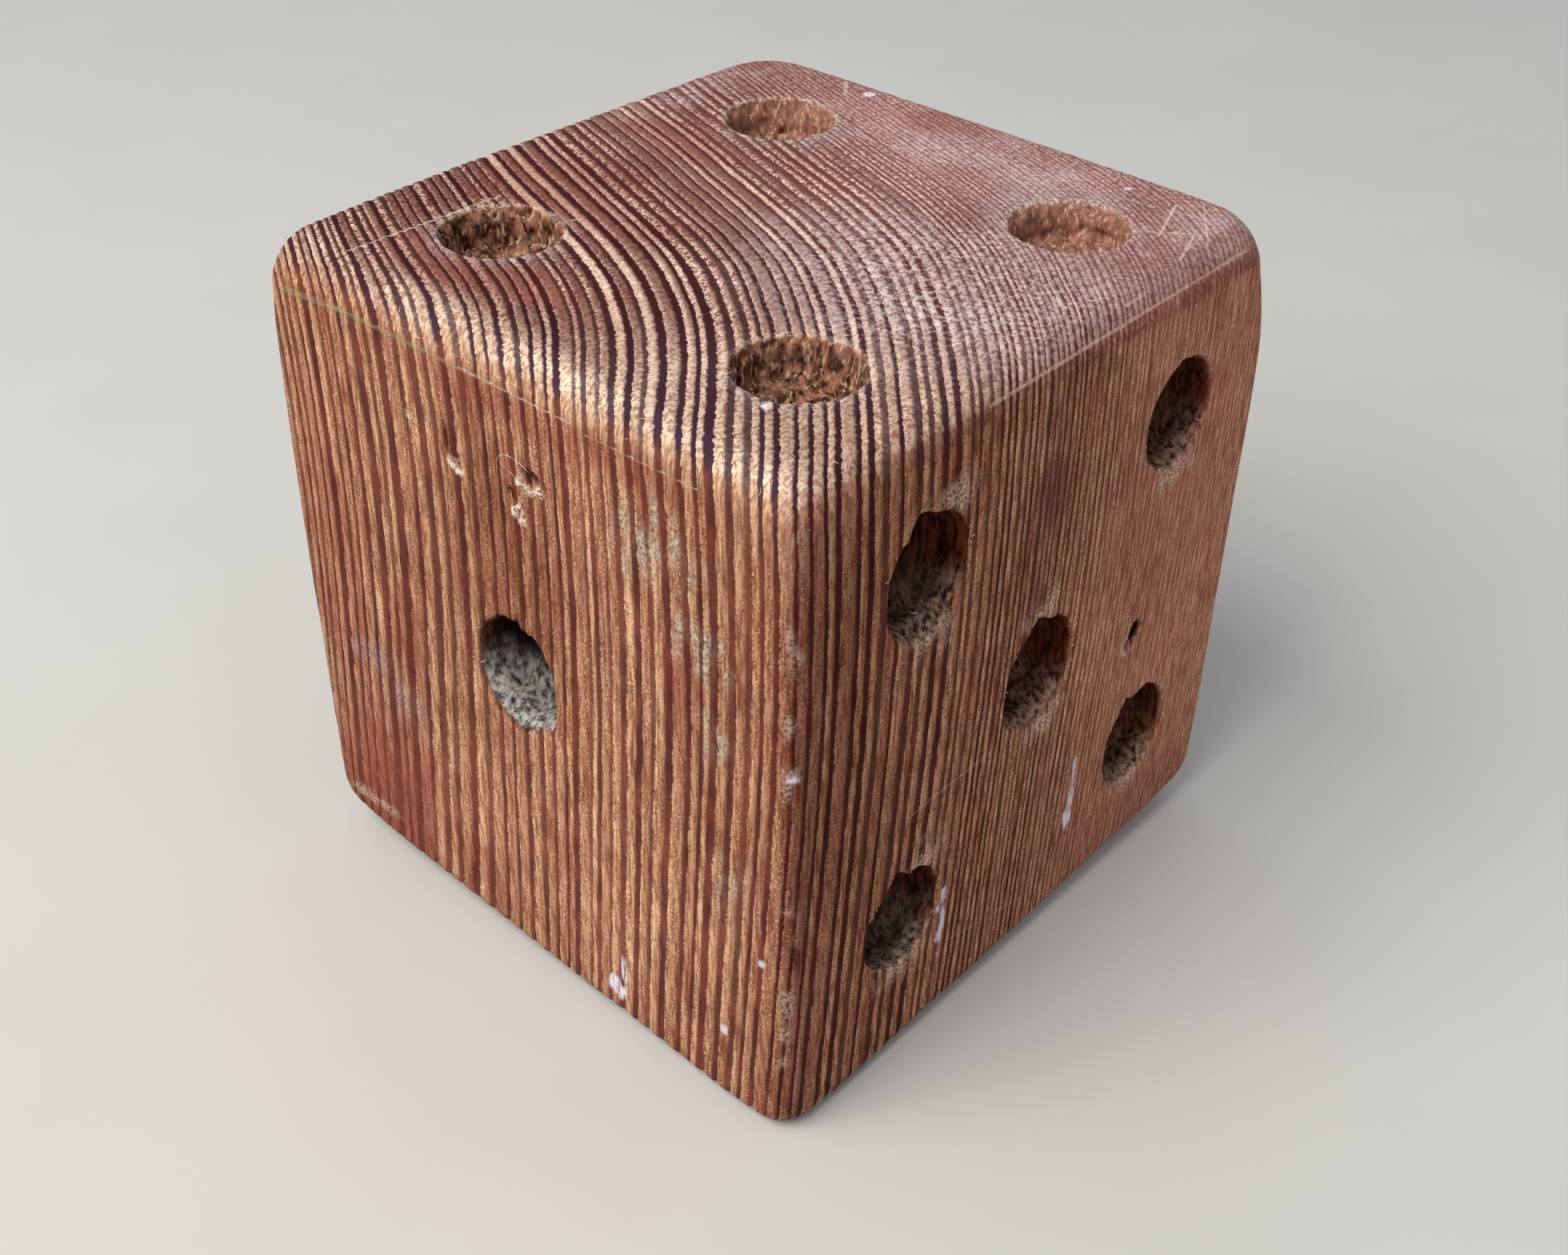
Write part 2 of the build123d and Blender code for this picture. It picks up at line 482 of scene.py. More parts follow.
def settle(points, times=2):
    """Moves the points of the net onto the exact surface."""
    for _ in range(times):
        f = die(points)
        g = slope(points, f)
        move = g * (f / np.maximum(np.einsum("ij,ij->i", g, g), 0.3))[:, None]
        far = np.linalg.norm(move, axis=1, keepdims=True)
        points = points - move * np.minimum(1, 0.2 / np.maximum(far, 1e-6))
    return points


def mesh_from(name, points, faces):
    """A smooth-shaded mesh from points in millimetres and faces that all have as many sides."""
    mesh = bpy.data.meshes.new(name)
    mesh.vertices.add(len(points))
    mesh.vertices.foreach_set("co", (points * MM).astype(np.float32).ravel())
    mesh.loops.add(faces.size)
    mesh.loops.foreach_set("vertex_index", faces.astype(np.int32).ravel())
    mesh.polygons.add(len(faces))
    sides = faces.shape[1]
    mesh.polygons.foreach_set("loop_start", np.arange(len(faces), dtype=np.int32) * sides)
    mesh.polygons.foreach_set("use_smooth", np.full(len(faces), True))
    mesh.update(calc_edges=True)
    mesh.validate()
    return mesh


def add(name, data):
    """Puts a new object into the scene."""
    made = bpy.data.objects.new(name, data)
    bpy.context.scene.collection.objects.link(made)
    return made


def add_attribute(mesh, name, values):
    """Keeps one number for each point, for the material to read."""
    layer = mesh.attributes.new(name, "FLOAT", "POINT")
    layer.data.foreach_set("value", np.asarray(values, np.float32))


points, faces = surface_net(*banded_field())
points = settle(points)
mesh = mesh_from("worn_die", points, faces)
normals = np.empty(len(points) * 3, np.float32)
mesh.vertices.foreach_get("normal", normals)
normals = normals.reshape(-1, 3)

# Masks for the material: one number for each point of the mesh
count = len(points)
# Sides on which the dust lies around the top pips, along X and Y, and how wide it lies
DUSTY_SIDES = {6: (-0.8, -0.5, 1.2), 7: (-0.5, -0.8, 1.5), 8: (-0.8, -0.4, 1.2), 9: (0.45, 0.9, 2.6)}
# How grey rather than brown the fuzz is in some pips, and in the others
GREY_FUZZ = {0: 1.0, 10: 0.45, 12: 0.2}
OTHER_FUZZ = 0.1


def pip_masks():
    """What belongs to the pips: their inside, the wood round them, the fuzz in them, how grey
    it is, how much painted shade darkens them and the dust beside them."""
    pip_in, halo, fuzz, cool, depth, dusty_rim = (np.zeros(count, np.float32) for _ in range(6))
    for k, number, near, u, v, out in pip_places(points, 12):
        r = np.hypot(u, v)
        q = points[near]
        inside = (1 - step_up(PIP_RADIUS - 0.3, PIP_RADIUS + 0.3, r)) * step_up(0.2, 0.8, -out)
        torn = step_up(0.45, 0.9, -out) * (r < PIP_RADIUS + 4)
        pip_in[near] = np.maximum(pip_in[near], np.maximum(inside, torn))
        rim_at = PIP_RADIUS + (0.6 if number in (3, 4) else 0)
        ring = np.exp(-np.maximum(r - rim_at, 0) / 1.1) * (1 - pip_in[near])
        halo[near] = np.maximum(halo[near], ring)
        if number in (3, 4):
            level = 0.1 + 0.25 * noise(q, 2.4, 101)
        elif number == 1:
            level = step_up(3.5, -5, v + 1.5 * noise(q, (1.8, 1.8, 2.6), 101))
        else:
            level = 0.55 * step_up(0.5, -6.5, v + 2.5 * noise(q, (1.8, 1.8, 2.6), 101))
            level += 0.45 * step_up(-3, -0.3, out) * step_up(-2, -6, v)
        fuzz[near] = np.maximum(fuzz[near], pip_in[near] * np.clip(level, 0, 1))
        cool[near] = np.maximum(cool[near], pip_in[near] * GREY_FUZZ.get(k, OTHER_FUZZ))
        # Painted shade inside the pips: this weight makes the side away from the lamp darker, and the depth
        # mask below grows with it and with how far into the hole a point lies
        if number == 1:
            painted_shade_side = 0.6 + 0.5 * step_up(-2, 5, u + 0.6 * v) + 0.7 * step_up(-4, 3, v)
        else:
            painted_shade_side = 0.6 + 0.7 * step_up(3, -5, u)
        depth[near] = np.maximum(depth[near], pip_in[near] * np.clip(-painted_shade_side * out / 5.5, 0, 1))
        if k in DUSTY_SIDES:
            a, b, wide = DUSTY_SIDES[k]
            faces_dust = step_up(-0.3, 0.9, (a * u + b * v) / np.maximum(r, 1))
            dusty = faces_dust * np.exp(-np.maximum(r - PIP_RADIUS - 0.6, 0) / wide) * (1 - pip_in[near])
            dusty_rim[near] = np.maximum(dusty_rim[near], dusty * (dusty > 0.05))
    return pip_in, halo, fuzz, cool, depth, dusty_rim


pip_in, halo, fuzz, cool, depth, dusty_rim = pip_masks()
nail = np.hypot(points[:, 0] - NAIL_X, 0.8 * (points[:, 2] - NAIL_Z))
nail_in = step_up(0.4, 1.2, points[:, 1] + HALF_Y) * (nail < 3) * (points[:, 1] < 0)
# The nail hole and the gouges also get painted shade, through the same depth mask
depth = np.maximum(depth, nail_in)
for y, z, wide, high, deep in HOLLOWS:
    depth = np.maximum(depth, blob(points, (-HALF_X, y, z), (2, 1.3 * wide, 1.3 * high)))


def patch(centre, radius, ragged=0.35, grain=3.0, seed=100, soft=0.75):
    """A stain or scuff: 1 inside, falling to 0 between soft and 1 of its radius, with a border
    as ragged as ragged says, in bites as large as grain."""
    size = np.asarray(radius, np.float32)
    q = (points - np.asarray(centre, np.float32)) / size
    d = np.linalg.norm(q, axis=1) + ragged * noise(points, (grain, grain, 2.2 * grain), seed)
    return 1 - step_up(soft, 1.0, d)


def together(*parts):
    """The strongest of several masks at each point."""
    total = np.zeros(count, np.float32)
    for one in parts:
        total = np.maximum(total, one)
    return total


X, Y, Z = points.T
TOP = HEIGHT
# Scuffs towards +Y on the -X face are grey, and the others greenish
cool = np.maximum(cool, (X < -40) * step_up(5, 15, Y))
below = TOP - Z
ragged = 0.5 + 0.5 * noise(points, 2.2, 111)
# Wood worn pale along the top's edges on the -X and -Y sides and round the near corner
edge_left = (1 - step_up(3, 10, X + HALF_X + 2 * ragged)) * (1 - step_up(2.5, 6.5, below + 2 * ragged))
edge_left *= 0.35 + 0.65 * step_up(30, 5, Y)
edge_front = (1 - step_up(1.5, 5.5, Y + HALF_Y + 2 * ragged)) * (1 - step_up(2, 5.5, below + 2 * ragged))
edge_front *= 0.9 - 0.75 * step_up(-20, 20, X)
near_top = step_up(-8, -40, X + 0.8 * Y + 14) * step_up(-5, 2, Z - TOP)
at_corner = step_up(13, 3, np.hypot(X + HALF_X, Y + HALF_Y) + 3 * ragged) * step_up(14, 4, below + 4 * ragged)
worn = together(edge_left, edge_front, 0.7 * near_top, 0.8 * at_corner) * (0.5 + 0.8 * ragged)
worn += 0.35 * halo * (np.abs(normals[:, 2]) > 0.5)
worn += 0.6 * patch((40, -38, TOP - 2), (7, 6, 6), 0.4, 2, 116, 0.2)
worn += 0.5 * patch((43, -30, TOP - 1), (3, 5, 3), 0.4, 2, 117, 0.2)
chalky = together(
    step_up(27, 3, np.hypot(X - 1, 0.8 * (Y + 25))) * step_up(-4, 1, -below),
    0.5 * patch((31, -38, TOP), (12, 7, 8), 0.7, 2.0, 112, 0.1),
    0.35 * patch((34, -6, TOP), (9, 22, 8), 0.6, 4, 113, 0.1),
    0.35 * patch((24, 38, TOP), (22, 7, 8), 0.6, 4, 114, 0.1),
)
stain = together(
    0.65 * patch((-32, 5, TOP), (5, 11, 6), 0.5, 3, 121, 0.2),
    0.6 * patch((11, 27, TOP), (7, 12, 6), 0.5, 5, 122, 0.1),
    0.6 * patch((38, 9, TOP), (5, 9, 6), 0.5, 4, 127, 0.1),
    0.5 * patch((36.8, 38, TOP), (3.5, 3, 6), 0.5, 3, 128, 0.1),
    0.5 * patch((17, -15, TOP), (6, 3.5, 6), 0.5, 3, 122, 0.1),
    0.4 * patch((-14, 24, TOP), (14, 20, 6), 0.5, 7, 119, 0.1),
    0.5 * patch((-33, 20, TOP), (8, 16, 6), 0.5, 4, 118, 0.1),
    0.9 * patch((-HALF_X, 31, 14), (6, 15, 25), 0.4, 5, 123, 0.25),
    0.7 * patch((-HALF_X, 23, 43), (5, 5, 12), 0.6, 3, 125, 0.2),
    0.6 * patch((-HALF_X, 12, 8), (5, 7, 8), 0.6, 3, 126, 0.2),
    0.6 * patch((-HALF_X, 36, 50), (5, 7, 30), 0.5, 6, 124, 0.4),
    0.5 * patch((-HALF_X, -5, 85), (5, 38, 3.5), 0.3, 6, 129, 0.4),
    0.7 * patch((-HALF_X, -28, 62), (5, 3, 8), 0.6, 2, 120, 0.4),
)
purple = together(
    1.0 * patch((-2, -HALF_Y, 73), (6, 5, 18), 0.6, 3, 125, 0.1),
    0.4 * patch((30, -HALF_Y, 52), (7, 5, 14), 0.5, 6, 126, 0.2),
    ragged * step_up(1.5, 0.6, np.abs(below - 2.6 - 0.6 * ragged)) * step_up(4, 1, Y + HALF_Y)
    * step_up(-36, -26, X),
    0.35 * step_up(7, 0.5, below + 3 * ragged) * step_up(6, 2, Y + HALF_Y) * step_up(-20, 0, X),
    0.5 * step_up(2.2, 0.6, Y + HALF_Y) * step_up(6, 2, X + HALF_X),
)
grey = together(
    0.9 * patch((-HALF_X, 30.5, 35.5), (4, 7, 3.6), 0.4, 1.6, 136, 0.1),
    1.0 * patch((-HALF_X, 24.5, 31.5), (4, 6, 4.4), 0.4, 1.6, 131, 0.1),
    1.2 * patch((-HALF_X, -24, 77), (4, 9, 6), 0.8, 1.5, 132, 0.1),
    1.2 * patch((-HALF_X, -31, 66), (4, 4.5, 7), 0.8, 1.5, 133, 0.1),
    0.9 * patch((-HALF_X, -31, 56), (4, 4, 4), 0.8, 1.5, 137, 0.1),
    0.6 * patch((-HALF_X, -34, 36), (4, 3, 9), 0.8, 1.5, 130, 0.1),
    0.7 * patch((27, -15.5, TOP), (7, 4, 4), 0.5, 2.5, 135, 0.1),
    0.5 * patch((22, 14, TOP), (6, 3, 4), 0.6, 2.5, 134, 0.1),
    0.6 * patch((38, -38, TOP - 2), (7, 6, 5), 0.5, 2.0, 138, 0.2),
    dusty_rim,
)
rim = together(*(patch((x, -HALF_Y, z), (5, 3, 3.2), 0.5, 1.2, 139, 0.2) for x, z in RIMS))
pale = together(
    *(patch((-HALF_X, y, z), (1.5, wide + 0.3, high + 0.25), 0.25, 0.6, 151) for y, z, wide, high in TUFTS),
    0.5 * rim,
    0.6 * patch((NAIL_X - 2.0, -HALF_Y, NAIL_Z - 1.0), (1.2, 3, 1.8), 0.4, 0.8, 154, 0.3),
    0.5 * patch((-HALF_X, 34, 8.2), (3, 5, 1.4), 0.5, 1.2, 152, 0.3),
    0.45 * step_up(2.4, 1.2, X + HALF_X) * step_up(4, 1.5, HALF_Y - Y) * ragged,
    0.5 * step_up(2.2, 0.9, X + HALF_X) * step_up(2.2, 0.9, Y + HALF_Y) * step_up(0.45, 0.8, ragged),
)
pale = np.maximum(pale, 0.6 * step_up(0.66, 0.9, halo) * (np.abs(normals[:, 2]) > 0.3) * (0.4 + 0.6 * ragged))
hollow = together(
    *(patch((-HALF_X, y, z), (2, wide, high), 0.1, 0.6, 153) for y, z, wide, high, deep in HOLLOWS)
)
paint = together(
    patch((-HALF_X, -14.3, 6.2), (3, 1.5, 2.2), 0.7, 0.8, 141),
    0.9 * patch((-HALF_X, -15.9, 10.8), (3, 0.5, 2.8), 0.5, 0.8, 142),
    0.8 * patch((-HALF_X, -33.2, 12.4), (3, 0.7, 0.9), 0.5, 0.7, 143),
    0.8 * patch((-HALF_X, -39.2, 27.8), (3, 0.5, 0.7), 0.5, 0.7, 140),
    patch((-HALF_X + 1, -42.6, 56.5), (1.0, 0.6, 0.5), 0.3, 0.7, 144),
    0.9 * patch((10.7, -HALF_Y, 16.6), (1.4, 3, 1.6), 0.6, 0.9, 145),
    0.7 * patch((11.3, -HALF_Y, 21.5), (0.5, 3, 5.5), 0.7, 0.9, 146),
    0.75 * patch((-15.8, -HALF_Y, 18), (0.75, 3, 6.3), 0.7, 0.8, 147),
    patch((39.9, 19.7, TOP), (1.0, 0.8, 3), 0.2, 1, 148),
    patch((-32.9, -28.5, TOP), (0.8, 0.7, 3), 0.3, 0.6, 149),
    0.8 * patch((37.9, -24, TOP), (0.5, 0.5, 3), 0.3, 0.6, 150),
)
# Broad differences in how light the wood is: middle, radius and amount
SHADES = [
    ((-HALF_X, 0, 62), (8, 20, 28), -1.3),
    ((-HALF_X, -36, 56), (6, 14, 40), -0.5),
    ((-HALF_X, -8, 24), (8, 34, 22), 1.25),
    ((-HALF_X, 36, 60), (6, 10, 30), 0.25),
    ((-37, -HALF_Y, 58), (14, 6, 44), -0.45),
    ((-20, -HALF_Y, 85), (14, 6, 12), -0.3),
    ((7, -HALF_Y, 42), (20, 6, 44), 0.8),
    ((30, -HALF_Y, 30), (14, 6, 16), 0.3),
    ((30, -HALF_Y, 6), (20, 6, 12), -0.6),
    ((-HALF_X, 34, 8), (8, 20, 14), -1.0),
    ((20, 8, TOP), (20, 30, 8), 0.5),
    ((9, -2, TOP), (18, 14, 8), 0.6),
    ((36, 36, TOP), (20, 20, 8), -0.55),
    ((-38, -3, TOP), (11, 20, 8), -0.6),
    ((-28, -32, TOP), (16, 12, 8), -0.6),
    ((30, -34, TOP), (22, 16, 8), -0.8),
    ((4, -24, TOP), (14, 11, 8), -0.75),
    ((-20, 0, TOP), (12, 18, 8), 0.85),
    ((-22, 36, TOP), (14, 10, 8), -0.4),
]
# Torn wood this near the top or the bottom is in a pip drilled into the end grain
END_PIPS = 12
shade = 0.2 * noise(points, (18, 18, 30), 155)
for middle, radius, amount in SHADES:
    shade += amount * blob(points, middle, radius)
masks = {
    "ring": ring_count(points),
    "pip": together(pip_in, 0.9 * hollow, nail_in),
    "fuzz": fuzz,
    "cool": cool,
    # depth: how much painted shade darkens the pips, the nail hole and the gouges
    "depth": depth,
    "worn": np.clip(worn, 0, 1),
    "chalky": chalky,
    "stain": stain,
    "purple": purple,
    "grey": grey,
    "pale": pale,
    "paint": paint,
    "smoothed": smoothness(points),
    "endwise": step_up(-END_PIPS - 2, -END_PIPS, Z - TOP) + step_up(END_PIPS + 2, END_PIPS, Z),
    "end": step_up(0.35, 0.8, np.abs(normals[:, 2])),
    "shade": shade,
    "faded": step_up(-0.2, 0.14, towards_right(points)),
    "shaded": (1 - step_up(0.5, 4, Y + HALF_Y)) * (1 - step_up(-30, 40, X)),
}
for name, values in masks.items():
    add_attribute(mesh, name, values)

die_object = add("worn_die", mesh)
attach(die_object, "root")
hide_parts("die_block")


def curve_through(controls, steps):
    """Points along one smooth curve pulled towards its control points."""
    controls = np.asarray(controls, float)
    degree = len(controls) - 1
    t = np.linspace(0, 1, steps)[:, None]
    weights = [math.comb(degree, k) * t**k * (1 - t) ** (degree - k) for k in range(degree + 1)]
    return sum(w * c for w, c in zip(weights, controls))


def thread(path, radius):
    """A thin closed tube along a path, pointed at both ends."""
    sides = 4
    forward = np.gradient(path, axis=0)
    forward /= np.linalg.norm(forward, axis=1, keepdims=True)
    helper = np.where(np.abs(forward[:, 2:]) < 0.8, [[0, 0, 1.0]], [[1.0, 0, 0]])
    a = np.cross(forward, helper)
    a /= np.linalg.norm(a, axis=1, keepdims=True)
    b = np.cross(forward, a)
    rows = []
    for k in range(1, len(path) - 1):
        turn = 2 * math.pi * np.arange(sides) / sides
        rows.append(path[k] + radius * (np.cos(turn)[:, None] * a[k] + np.sin(turn)[:, None] * b[k]))
    length = len(rows)
    triangles = []
    for s in range(sides):
        n = (s + 1) % sides
        for k in range(length - 1):
            p, q, r, t = k * sides + s, k * sides + n, (k + 1) * sides + s, (k + 1) * sides + n
            triangles += [(p, q, t), (p, t, r)]
        triangles.append((length * sides, n, s))
        triangles.append((length * sides + 1, (length - 1) * sides + s, (length - 1) * sides + n))
    return np.concatenate(rows + [path[:1], path[-1:]]), np.array(triangles)


def stray_threads():
    """Loose fibres raised from the worn arrises, the pip rims and the gouges."""
    luck = np.random.default_rng(11)
    facing = normals
    on_top = facing[:, 2] > 0.5
    # Where the fibres start, how many there are and how long the longest is
    groups = [
        (np.nonzero(edge_left * (X < -38) > 0.45)[0], 24, 1.8),
        (np.nonzero(edge_front * (Y < -37) > 0.4)[0], 8, 1.6),
        (np.nonzero((halo > 0.55) * on_top * (pip_in < 0.1))[0], 70, 1.9),
        (np.nonzero((halo > 0.55) * ~on_top * (pip_in < 0.1) * (X < 44) * (Y < 30) * (Z > 8))[0], 60, 1.2),
        (np.nonzero(chalky * on_top > 0.35)[0], 70, 2.2),
        (np.nonzero((fuzz > 0.5) * (facing[:, 2] > 0.3))[0], 60, 1.4),
    ]
    paths = []
    for places, how_many, longest in groups:
        for k in luck.choice(places, how_many):
            out = facing[k].astype(float)
            side = np.cross(out, luck.normal(size=3))
            side /= np.linalg.norm(side)
            bend = np.cross(out, side)
            reach = longest * luck.uniform(0.3, 1.0)
            lift = reach * luck.uniform(0.02, 0.14)
            curl = reach * luck.uniform(-0.35, 0.35)
            start = points[k] - 0.12 * out
            middle = start + 0.5 * reach * side + (lift + 0.12) * out + curl * bend
            finish = start + reach * side + luck.uniform(0, 1) * lift * out
            paths.append(curve_through([start, middle, finish], 6))
    for controls in LOOPS:
        offset = np.array([-HALF_X, 0, 0])
        paths.append(curve_through(np.array(controls) + offset, 12))
    verts, tris, total = [], [], 0
    for path in paths:
        v, t = thread(path, THREAD_RADIUS)
        verts.append(v)
        tris.append(t + total)
        total += len(v)
    return np.concatenate(verts), np.concatenate(tris)


thread_points, thread_faces = stray_threads()
thread_mesh = mesh_from("stray_fibres", thread_points, thread_faces)
threads = add("stray_fibres", thread_mesh)
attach(threads, "root")


def srgb(r, g, b):
    """A colour given as it looks on screen, from 0 to 255, as the shader wants it."""
    return tuple(((v / 255 + 0.055) / 1.055) ** 2.4 if v > 10 else v / 255 / 12.92 for v in (r, g, b)) + (1,)


class Graph:
    """Short names for building a node material."""

    def __init__(self, name):
        self.material = bpy.data.materials.new(name)
        self.material.use_nodes = True
        self.tree = self.material.node_tree
        self.shader = self.tree.nodes["Principled BSDF"]

    def node(self, kind, inputs=(), **settings):
        made = self.tree.nodes.new(kind)
        for key, v in settings.items():
            setattr(made, key, v)
        for key, v in dict(inputs).items():
            self.put(made.inputs[key], v)
        return made

    def put(self, socket, v):
        if isinstance(v, bpy.types.NodeSocket):
            self.tree.links.new(v, socket)
        else:
            socket.default_value = v

    def math(self, operation, a, b=0.0, c=0.0, clamp=False):
        made = self.node("ShaderNodeMath", {0: a, 1: b, 2: c}, operation=operation, use_clamp=clamp)
        return made.outputs[0]

    def mix(self, amount, a, b, blend="MIX"):
        made = self.node("ShaderNodeMix", {0: amount, 6: a, 7: b}, data_type="RGBA", blend_type=blend)
        return made.outputs[2]

    def fade(self, v, low, high, out_low=0.0, out_high=1.0):
        made = self.node(
            "ShaderNodeMapRange",
            {0: v, 1: low, 2: high, 3: out_low, 4: out_high},
            interpolation_type="SMOOTHSTEP",
        )
        return made.outputs[0]

    def attribute(self, name):
        return self.node("ShaderNodeAttribute", attribute_name=name).outputs["Fac"]

    def noise(self, size, detail=2.0, rough=0.5, offset=0.0):
        """Noise with grains size millimetres large along x, y and z, from 0 to 1."""
        place = self.node("ShaderNodeTexCoord").outputs["Object"]
        scale = [1 / (s * MM) for s in (size if isinstance(size, tuple) else (size,) * 3)]
        mapped = self.node(
            "ShaderNodeMapping", {"Vector": place, "Location": (offset, offset, offset), "Scale": scale}
        )
        made = self.node(
            "ShaderNodeTexNoise",
            {"Vector": mapped.outputs[0], "Scale": 1.0, "Detail": detail, "Roughness": rough},
        )
        return made.outputs["Fac"]


def scratch(g, a, b, width):
    """1 along a straight scratch from a to b, in millimetres, 0 beside it."""
    a, b = Vector(a) * MM, Vector(b) * MM
    along = b - a
    place = g.node("ShaderNodeTexCoord").outputs["Object"]
    offset = g.node("ShaderNodeVectorMath", {0: place, 1: a}, operation="SUBTRACT").outputs[0]
    dot = g.node("ShaderNodeVectorMath", {0: offset, 1: along}, operation="DOT_PRODUCT").outputs["Value"]
    share = g.math("DIVIDE", dot, along.length_squared, clamp=True)
    foot = g.node("ShaderNodeVectorMath", {0: along, 3: share}, operation="SCALE").outputs[0]
    gap = g.node("ShaderNodeVectorMath", {0: offset, 1: foot}, operation="DISTANCE").outputs["Value"]
    return g.fade(gap, 0.4 * width * MM, width * MM, 1.0, 0.0)


def wood():
    """Old softwood: ring lines, end grain, wear, stains, scratches and the torn pips."""
    g = Graph("old_softwood")
    end, pip, fuzz, smoothed = (g.attribute(k) for k in ("end", "pip", "fuzz", "smoothed"))
    worn, chalky, stain, purple = (g.attribute(k) for k in ("worn", "chalky", "stain", "purple"))
    grey, pale, paint, shaded = (g.attribute(k) for k in ("grey", "pale", "paint", "shaded"))
    grit = g.noise(0.42, 1, 0.6)
    speck = g.noise(0.3, 0, 0.5, 7.0)
    fibre = g.noise((0.42, 0.42, 4.0), 2, 0.6, 3.0)
    blotch = g.noise((2.5, 2.5, 9.0), 2, 0.6, 5.0)
    flock = g.noise(0.65, 2, 0.65, 6.0)
    broad = g.noise((10.0, 10.0, 22.0), 2, 0.55)
    wobble = g.noise((0.7, 0.7, 4.0), 1, 0.5)

    # Growth rings with ragged borders: late is 1 in a year's dark line, mid rises before it,
    # and luck and luck2 are two random numbers for each year
    ring = g.math("MULTIPLY_ADD", wobble, 0.26, g.attribute("ring"))
    ring = g.math("MULTIPLY_ADD", grit, 0.16, ring)
    phase = g.math("FRACT", ring)
    year = g.math("FLOOR", ring)
    luck = g.node("ShaderNodeTexWhiteNoise", {"W": year}, noise_dimensions="1D").outputs["Value"]
    other_year = g.math("ADD", year, 0.37)
    luck2 = g.node("ShaderNodeTexWhiteNoise", {"W": other_year}, noise_dimensions="1D").outputs["Value"]
    start = g.math("MULTIPLY_ADD", end, -0.04, g.fade(luck, 0.0, 1.0, 0.6, 0.38))
    late = g.math("DIVIDE", g.math("SUBTRACT", phase, start), 0.17, clamp=True)
    late = g.math("MULTIPLY", late, g.fade(phase, 0.95, 1.0, 1.0, 0.0))
    late = g.math("MULTIPLY", late, g.fade(luck2, 0.0, 0.7, 0.75, 1.0))
    faint = g.fade(smoothed, 0.0, 1.0, 1.0, 0.65)
    late = g.math("MULTIPLY", late, faint)
    early = g.fade(luck, 0.0, 1.0, -0.12, 0.25)
    mid = g.math("MULTIPLY", g.fade(g.math("SUBTRACT", phase, early), 0.0, 0.4), faint)

    # Faces along the grain
    side = g.mix(g.fade(fibre, 0.32, 0.68), srgb(142, 93, 65), srgb(221, 175, 137))
    side = g.mix(g.math("MULTIPLY", mid, 0.5), side, srgb(140, 80, 60))
    side = g.mix(g.fade(grit, 0.3, 0.44, 0.6, 0.0), side, srgb(100, 46, 30))
    glint = g.math("MULTIPLY", g.fade(speck, 0.58, 0.78), g.fade(blotch, 0.35, 0.6, 0.1, 0.6))
    side = g.mix(glint, side, srgb(250, 218, 194))
    red = g.mix(g.fade(fibre, 0.35, 0.65), srgb(100, 40, 28), srgb(160, 84, 60))
    side = g.mix(g.fade(g.noise((2.2, 2.2, 14.0), 2, 0.6, 2.5), 0.55, 0.7, 0.0, 0.55), side, red)
    weathered = g.mix(g.fade(fibre, 0.32, 0.66), srgb(172, 128, 102), srgb(240, 208, 176))
    side = g.mix(g.math("MULTIPLY", worn, 0.75), side, weathered)
    line = g.mix(g.fade(blotch, 0.35, 0.65), srgb(78, 38, 38), srgb(116, 60, 48))
    line = g.mix(shaded, line, g.mix(g.fade(blotch, 0.35, 0.65), srgb(52, 10, 8), srgb(84, 26, 18)))
    side = g.mix(g.math("MULTIPLY", late, 0.95), side, line)
    rubbed = g.mix(g.fade(fibre, 0.3, 0.7), srgb(148, 82, 68), srgb(200, 134, 114))
    rubbed = g.mix(g.fade(flock, 0.45, 0.75, 0.0, 0.35), rubbed, srgb(214, 156, 142))
    side = g.mix(g.math("MULTIPLY", smoothed, 0.42), side, rubbed)

    # End grain
    crest = g.mix(g.fade(flock, 0.38, 0.62), srgb(110, 64, 54), srgb(204, 164, 148))
    crest = g.mix(g.fade(luck2, 0.5, 1.0, 0.0, 0.5), crest, srgb(228, 196, 174))
    crest = g.mix(g.fade(speck, 0.56, 0.74, 0.0, 0.8), crest, srgb(246, 224, 206))
    ends = g.mix(g.math("MULTIPLY", mid, 0.8), crest, srgb(100, 54, 50))
    cream = g.mix(g.fade(flock, 0.36, 0.58), srgb(194, 152, 126), srgb(250, 230, 204))
    cream = g.mix(g.fade(grit, 0.32, 0.46, 0.6, 0.0), cream, srgb(146, 98, 76))
    ends = g.mix(worn, ends, cream)
    # Smoothed end grain: partly the faded pale wood and partly a painted pinkish-grey sheen, with bright
    # specks
    smoothed_end_and_sheen = g.mix(g.fade(flock, 0.35, 0.65), srgb(156, 108, 102), srgb(200, 164, 160))
    smoothed_end_and_sheen = g.mix(g.fade(speck, 0.6, 0.8, 0.0, 0.6), smoothed_end_and_sheen, srgb(240, 214, 208))
    ends = g.mix(g.math("MULTIPLY", smoothed, 0.75), ends, smoothed_end_and_sheen)
    chalk = g.mix(g.fade(g.noise(0.7, 3, 0.7, 2.0), 0.42, 0.58), srgb(150, 114, 112), srgb(250, 236, 238))
    ends = g.mix(g.math("MULTIPLY", chalky, 0.65), ends, chalk)
    deep = g.mix(g.attribute("faded"), srgb(62, 24, 24), srgb(108, 58, 54))
    # In the worn places the dark late wood lines get a blue-purple tint, which is a painted sky reflection
    deep = g.mix(worn, deep, srgb(72, 50, 66))
    ends = g.mix(late, ends, deep)
    dust = g.math("MULTIPLY", chalky, g.fade(g.noise(0.9, 3, 0.7, 9.0), 0.46, 0.66, 0.0, 0.6))
    ends = g.mix(dust, ends, srgb(246, 230, 230))
    colour = g.mix(end, side, ends)

